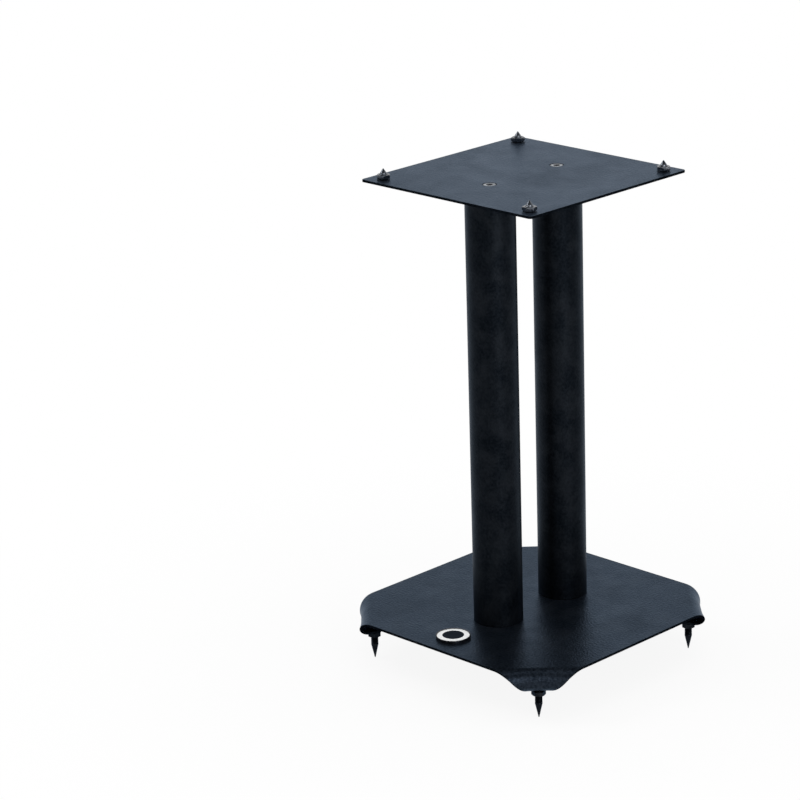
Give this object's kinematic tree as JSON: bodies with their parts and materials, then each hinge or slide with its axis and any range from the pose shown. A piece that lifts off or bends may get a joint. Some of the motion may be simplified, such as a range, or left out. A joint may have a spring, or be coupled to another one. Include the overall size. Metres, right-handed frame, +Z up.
{
  "type": "speaker stand",
  "caption": "Speaker stand with a square top plate on two round columns, a square base plate with rolled-under corners, and adjustable spikes on top and underneath.",
  "frame": {"origin": "on the floor, at the tips of the floor spikes, under the centre of the stand", "axes": "+Z up, -Y to the front where the badge is, +X to the right seen from the front"},
  "size_m": [0.232, 0.232, 0.4082],
  "materials": {
    "plate_coat": "fine-textured satin powder coat, slate black",
    "column_coat": "satin powder coat, near black",
    "spike_black": "black chrome, glossy",
    "screw_steel": "dark zinc, satin",
    "plug_steel": "turned steel, uncoated",
    "badge": "gloss white face in a dark rim, plain"
  },
  "bodies": {
    "frame": {"base_plate": "plate_coat", "top_plate": "plate_coat", "front_column": "column_coat", "front_upper_plug": "plug_steel", "front_lower_plug": "plug_steel", "front_top_screw": "screw_steel", "front_base_washer": "screw_steel", "front_base_bolt": "screw_steel", "rear_column": "column_coat", "rear_upper_plug": "plug_steel", "rear_lower_plug": "plug_steel", "rear_top_screw": "screw_steel", "rear_base_washer": "screw_steel", "rear_base_bolt": "screw_steel", "badge": "badge"},
    "top_spike_front_left": {"top_spike_front_left": "spike_black"},
    "top_nut_front_left": {"top_nut_front_left": "spike_black"},
    "floor_spike_front_left": {"floor_spike_front_left": "spike_black"},
    "floor_nut_front_left": {"floor_nut_front_left": "spike_black"},
    "top_spike_front_right": {"top_spike_front_right": "spike_black"},
    "top_nut_front_right": {"top_nut_front_right": "spike_black"},
    "floor_spike_front_right": {"floor_spike_front_right": "spike_black"},
    "floor_nut_front_right": {"floor_nut_front_right": "spike_black"},
    "top_spike_rear_left": {"top_spike_rear_left": "spike_black"},
    "top_nut_rear_left": {"top_nut_rear_left": "spike_black"},
    "floor_spike_rear_left": {"floor_spike_rear_left": "spike_black"},
    "floor_nut_rear_left": {"floor_nut_rear_left": "spike_black"},
    "top_spike_rear_right": {"top_spike_rear_right": "spike_black"},
    "top_nut_rear_right": {"top_nut_rear_right": "spike_black"},
    "floor_spike_rear_right": {"floor_spike_rear_right": "spike_black"},
    "floor_nut_rear_right": {"floor_nut_rear_right": "spike_black"}
  },
  "joints": [
    {"name": "floor_spike_front_left_height", "type": "slide", "parent": "frame", "child": "floor_spike_front_left", "axis": [0, 0, 1], "range_m": [-0.005, 0.005]},
    {"name": "floor_nut_front_left_turn", "type": "hinge", "parent": "frame", "child": "floor_nut_front_left", "pos_m": [-0.08991, -0.08991, 0.0209], "axis": [0, 0, 1], "continuous": true},
    {"name": "top_spike_front_left_height", "type": "slide", "parent": "frame", "child": "top_spike_front_left", "axis": [0, 0, 1], "range_m": [-0.0008, 0.003]},
    {"name": "top_nut_front_left_turn", "type": "hinge", "parent": "frame", "child": "top_nut_front_left", "pos_m": [-0.0765, -0.0765, 0.4019], "axis": [0, 0, 1], "continuous": true},
    {"name": "floor_spike_front_right_height", "type": "slide", "parent": "frame", "child": "floor_spike_front_right", "axis": [0, 0, 1], "range_m": [-0.005, 0.005]},
    {"name": "floor_nut_front_right_turn", "type": "hinge", "parent": "frame", "child": "floor_nut_front_right", "pos_m": [0.08991, -0.08991, 0.0209], "axis": [0, 0, 1], "continuous": true},
    {"name": "top_spike_front_right_height", "type": "slide", "parent": "frame", "child": "top_spike_front_right", "axis": [0, 0, 1], "range_m": [-0.0008, 0.003]},
    {"name": "top_nut_front_right_turn", "type": "hinge", "parent": "frame", "child": "top_nut_front_right", "pos_m": [0.0765, -0.0765, 0.4019], "axis": [0, 0, 1], "continuous": true},
    {"name": "floor_spike_rear_left_height", "type": "slide", "parent": "frame", "child": "floor_spike_rear_left", "axis": [0, 0, 1], "range_m": [-0.005, 0.005]},
    {"name": "floor_nut_rear_left_turn", "type": "hinge", "parent": "frame", "child": "floor_nut_rear_left", "pos_m": [-0.08991, 0.08991, 0.0209], "axis": [0, 0, 1], "continuous": true},
    {"name": "top_spike_rear_left_height", "type": "slide", "parent": "frame", "child": "top_spike_rear_left", "axis": [0, 0, 1], "range_m": [-0.0008, 0.003]},
    {"name": "top_nut_rear_left_turn", "type": "hinge", "parent": "frame", "child": "top_nut_rear_left", "pos_m": [-0.0765, 0.0765, 0.4019], "axis": [0, 0, 1], "continuous": true},
    {"name": "floor_spike_rear_right_height", "type": "slide", "parent": "frame", "child": "floor_spike_rear_right", "axis": [0, 0, 1], "range_m": [-0.005, 0.005]},
    {"name": "floor_nut_rear_right_turn", "type": "hinge", "parent": "frame", "child": "floor_nut_rear_right", "pos_m": [0.08991, 0.08991, 0.0209], "axis": [0, 0, 1], "continuous": true},
    {"name": "top_spike_rear_right_height", "type": "slide", "parent": "frame", "child": "top_spike_rear_right", "axis": [0, 0, 1], "range_m": [-0.0008, 0.003]},
    {"name": "top_nut_rear_right_turn", "type": "hinge", "parent": "frame", "child": "top_nut_rear_right", "pos_m": [0.0765, 0.0765, 0.4019], "axis": [0, 0, 1], "continuous": true}
  ]
}
